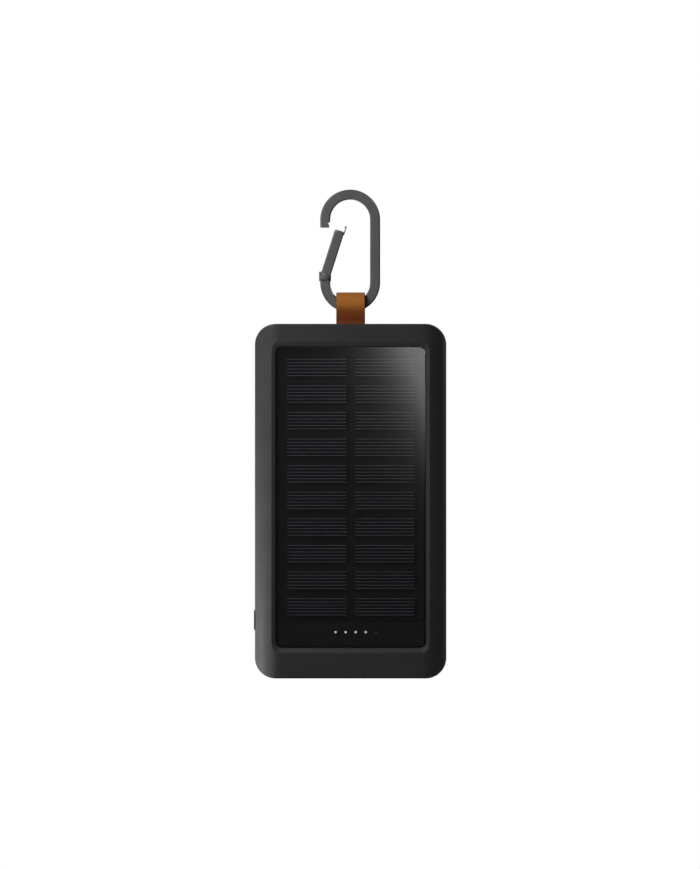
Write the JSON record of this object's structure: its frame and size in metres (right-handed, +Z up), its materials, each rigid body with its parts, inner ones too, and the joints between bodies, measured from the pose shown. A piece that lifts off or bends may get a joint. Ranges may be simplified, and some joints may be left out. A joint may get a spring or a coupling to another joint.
{
  "type": "solar phone charger",
  "caption": "Slim upright battery pack with a framed solar panel, charge lamps, a side button, covered ports, and a strap loop with a hinged carabiner.",
  "frame": {"origin": "centre of the bottom end, half-way through the thickness", "axes": "+Z up the long side towards the carabiner, the solar panel faces -Y, and the power button is on -X"},
  "size_m": [0.0835, 0.023, 0.212],
  "materials": {
    "casing": "fine matte moulding",
    "button": "fine matte moulding",
    "rubber": "matte rubber",
    "clear_cover": "clear gloss laminate",
    "silicon": "dark silicon with printed silver fingers",
    "backsheet": "black laminate",
    "light_pipe": "clear moulding",
    "led": "lamp package",
    "board": "solder-masked glass epoxy",
    "chip": "moulded epoxy",
    "ferrite": "pressed powder",
    "pouch": "laminated foil pouch",
    "foam": "open-cell foam",
    "steel": "plain steel",
    "gunmetal": "dark anodised, satin",
    "leather": "orange-brown strap leather",
    "red_wire": "insulated wire",
    "black_wire": "insulated wire"
  },
  "bodies": {
    "casing": {"front_casing": "casing", "rear_casing": "casing", "casing_seal": "rubber", "panel_cover": "clear_cover", "panel_backsheet": "backsheet", "solar_cell_01": "silicon", "solar_cell_02": "silicon", "solar_cell_03": "silicon", "solar_cell_04": "silicon", "solar_cell_05": "silicon", "solar_cell_06": "silicon", "solar_cell_07": "silicon", "solar_cell_08": "silicon", "solar_cell_09": "silicon", "solar_cell_10": "silicon", "solar_cell_11": "silicon", "solar_cell_12": "silicon", "solar_cell_13": "silicon", "solar_cell_14": "silicon", "solar_cell_15": "silicon", "solar_cell_16": "silicon", "solar_cell_17": "silicon", "solar_cell_18": "silicon", "solar_cell_19": "silicon", "solar_cell_20": "silicon", "led_mask": "backsheet", "light_guide": "light_pipe", "led_1": "led", "led_2": "led", "led_3": "led", "led_4": "led", "led_5": "led", "led_6": "led", "main_board": "board", "inductor": "ferrite", "charge_controller": "chip", "battery_cell": "pouch", "foam_pad": "foam", "usb_a_shell": "steel", "usb_a_tongue": "chip", "usb_c_shell": "steel", "usb_c_tongue": "chip", "switch_body": "steel", "strap_anchor_pin": "steel", "strap_tail": "leather", "casing_screw_1": "steel", "casing_screw_2": "steel", "casing_screw_3": "steel", "casing_screw_4": "steel", "battery_lead_positive": "red_wire", "battery_lead_negative": "black_wire", "panel_lead": "black_wire"},
    "strap": {"strap_loop": "leather"},
    "carabiner": {"carabiner_frame": "gunmetal", "gate_pin": "gunmetal", "gate_spring": "steel"},
    "gate": {"carabiner_gate": "gunmetal"},
    "power_button": {"power_button": "button", "switch_plunger": "chip"},
    "port_cover": {"port_cover": "rubber"}
  },
  "joints": [
    {"name": "strap_bend", "type": "hinge", "parent": "casing", "child": "strap", "pos_m": [0, 0, 0.1538], "axis": [1, 0, 0], "range_deg": [-45, 45], "stiffness_Nm_per_rad": 0.01},
    {"name": "carabiner_swing", "type": "hinge", "parent": "strap", "child": "carabiner", "pos_m": [0, 0, 0.1623], "axis": [1, 0, 0], "range_deg": [-75, 75]},
    {"name": "gate_pivot", "type": "hinge", "parent": "carabiner", "child": "gate", "pos_m": [-0.011, 0, 0.17455], "axis": [0, 1, 0], "range_deg": [-17.7, 14.3], "stiffness_Nm_per_rad": 0.002, "springref_deg": -25.78, "deforming": ["gate_spring"]},
    {"name": "button_press", "type": "slide", "parent": "casing", "child": "power_button", "axis": [1, 0, 0], "range_m": [0, 0.0004], "stiffness_N_per_m": 60, "springref_m": -0.004},
    {"name": "port_cover_hinge", "type": "hinge", "parent": "casing", "child": "port_cover", "pos_m": [0, 0.0041, 0.00095], "axis": [1, 0, 0], "range_deg": [0, 100]}
  ]
}
